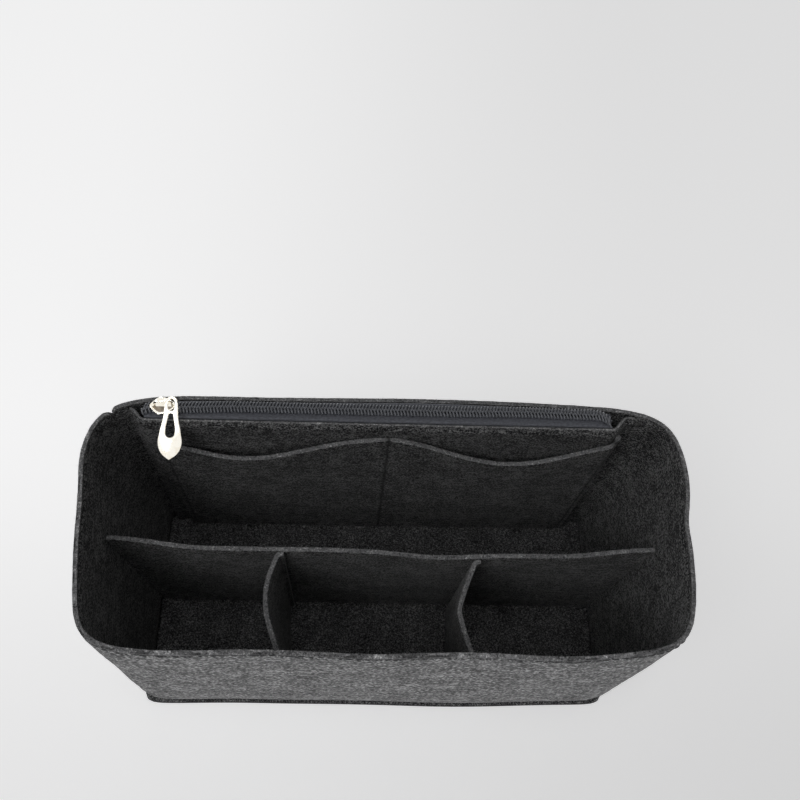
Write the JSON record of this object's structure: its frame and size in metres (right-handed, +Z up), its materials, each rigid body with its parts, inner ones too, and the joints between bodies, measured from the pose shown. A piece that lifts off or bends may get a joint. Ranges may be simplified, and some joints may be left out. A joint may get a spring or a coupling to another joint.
{
  "type": "purse organizer insert",
  "caption": "Open felt purse organizer insert with divided front compartments, slip pockets and a zipped back pocket closed by a coil zip with a metal teardrop pull.",
  "frame": {"origin": "middle of the bounding box seen from above, at the underside of the base panel", "axes": "+X along the length, with the closed zip's slider at the -X end; +Y from the front wall to the zipped back wall; +Z up out of the open top"},
  "size_m": [0.2858, 0.1254, 0.1581],
  "materials": {
    "charcoal_felt": "matte heathered wool-look felt with a fuzzy surface",
    "black_thread": "twisted polyester sewing thread",
    "zip_tape": "flat woven polyester tape",
    "nylon_coil": "satin dark nylon monofilament",
    "pale_gold_metal": "polished pale gold plating on die-cast metal"
  },
  "bodies": {
    "organizer": {"base_panel": "charcoal_felt", "wall_band": "charcoal_felt", "zip_panel": "charcoal_felt", "slip_pocket_panel": "charcoal_felt", "long_divider": "charcoal_felt", "cross_divider_left": "charcoal_felt", "cross_divider_right": "charcoal_felt", "zip_tape_rear": "zip_tape", "zip_tape_front": "zip_tape", "zip_coil_rear": "nylon_coil", "zip_coil_front": "nylon_coil", "rim_stitch": "black_thread", "base_seam_stitch": "black_thread", "corner_seam_stitch": "black_thread", "slip_stitch_middle": "black_thread", "slip_stitch_left": "black_thread", "slip_stitch_right": "black_thread", "divider_stitch_left": "black_thread", "divider_stitch_right": "black_thread", "cross_stitch_left": "black_thread", "cross_stitch_right": "black_thread"},
    "zip_slider": {"slider": "pale_gold_metal"},
    "zip_pull": {"pull_tab": "pale_gold_metal"}
  },
  "joints": [
    {"name": "zip_slide", "type": "slide", "parent": "organizer", "child": "zip_slider", "axis": [1, 0, 0], "range_m": [0, 0.205]},
    {"name": "pull_swing", "type": "hinge", "parent": "zip_slider", "child": "zip_pull", "pos_m": [-0.1047, 0.0535, 0.1553], "axis": [-1, 0, 0], "range_deg": [0, 75]}
  ]
}
